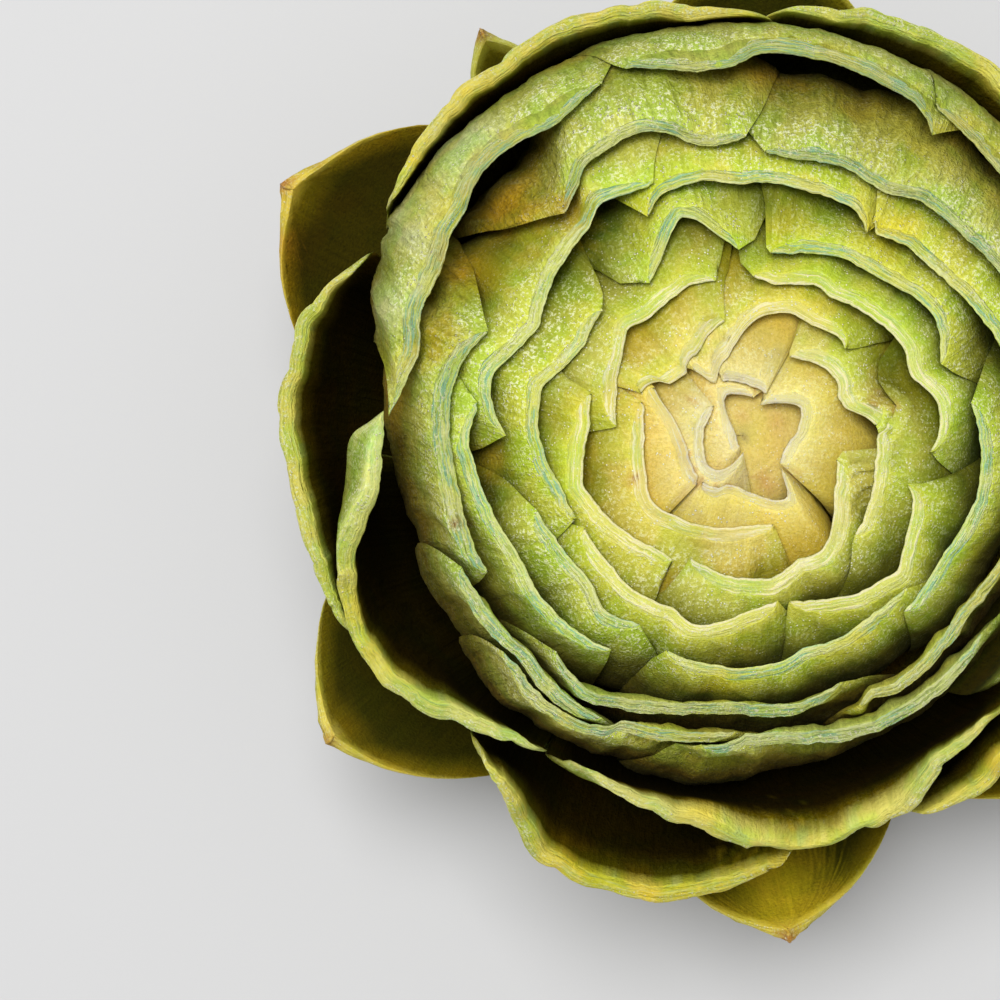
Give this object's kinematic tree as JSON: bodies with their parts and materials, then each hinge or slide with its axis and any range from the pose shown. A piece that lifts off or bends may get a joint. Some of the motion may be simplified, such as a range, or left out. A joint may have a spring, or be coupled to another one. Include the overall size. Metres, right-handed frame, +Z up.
{
  "type": "globe artichoke",
  "caption": "Round vegetable head of packed overlapping bracts on a fleshy heart, sliced flat across the crown, with a short trimmed stem to stand on.",
  "frame": {"origin": "middle of the stem's flat cut face, on the surface that the head stands on", "axes": "+Z up along the stem, towards the cut crown; +X and +Y across the head"},
  "size_m": [0.1256, 0.1305, 0.071],
  "materials": {
    "core_bracts": "pale yellow flesh",
    "inner_bracts": "pale yellow-green blade",
    "middle_bracts": "green blade with pale cut edge",
    "crown_bracts": "green downy blade with pale cut edge",
    "side_bracts": "green downy blade, whole edge",
    "lower_bracts": "olive blade with yellow edge and brown tip",
    "stem_and_heart": "pale green fibrous flesh"
  },
  "bodies": {
    "root": {"core_bract_1": "core_bracts", "core_bract_2": "core_bracts", "core_bract_3": "core_bracts", "core_bract_4": "core_bracts", "core_bract_5": "core_bracts", "core_bract_6": "core_bracts", "core_bract_7": "core_bracts", "inner_bract_1": "inner_bracts", "inner_bract_2": "inner_bracts", "inner_bract_3": "inner_bracts", "inner_bract_4": "inner_bracts", "inner_bract_5": "inner_bracts", "inner_bract_6": "inner_bracts", "inner_bract_7": "inner_bracts", "inner_bract_8": "inner_bracts", "inner_bract_9": "inner_bracts", "inner_bract_10": "inner_bracts", "inner_bract_11": "inner_bracts", "middle_bract_1": "middle_bracts", "middle_bract_2": "middle_bracts", "middle_bract_3": "middle_bracts", "middle_bract_4": "middle_bracts", "middle_bract_5": "middle_bracts", "middle_bract_6": "middle_bracts", "middle_bract_7": "middle_bracts", "middle_bract_8": "middle_bracts", "middle_bract_9": "middle_bracts", "middle_bract_10": "middle_bracts", "crown_bract_1": "crown_bracts", "crown_bract_2": "crown_bracts", "crown_bract_3": "crown_bracts", "crown_bract_4": "crown_bracts", "crown_bract_5": "crown_bracts", "crown_bract_6": "crown_bracts", "crown_bract_7": "crown_bracts", "crown_bract_8": "crown_bracts", "crown_bract_9": "crown_bracts", "crown_bract_10": "crown_bracts", "crown_bract_11": "crown_bracts", "crown_bract_12": "crown_bracts", "crown_bract_13": "crown_bracts", "side_bract_1": "side_bracts", "side_bract_2": "side_bracts", "side_bract_3": "side_bracts", "side_bract_4": "side_bracts", "side_bract_5": "side_bracts", "side_bract_6": "side_bracts", "side_bract_7": "side_bracts", "side_bract_8": "side_bracts", "lower_bract_1": "lower_bracts", "lower_bract_2": "lower_bracts", "lower_bract_3": "lower_bracts", "lower_bract_4": "lower_bracts", "lower_bract_5": "lower_bracts", "lower_bract_6": "lower_bracts", "lower_bract_7": "lower_bracts", "lower_bract_8": "lower_bracts", "stem_and_heart": "stem_and_heart"}
  },
  "joints": []
}
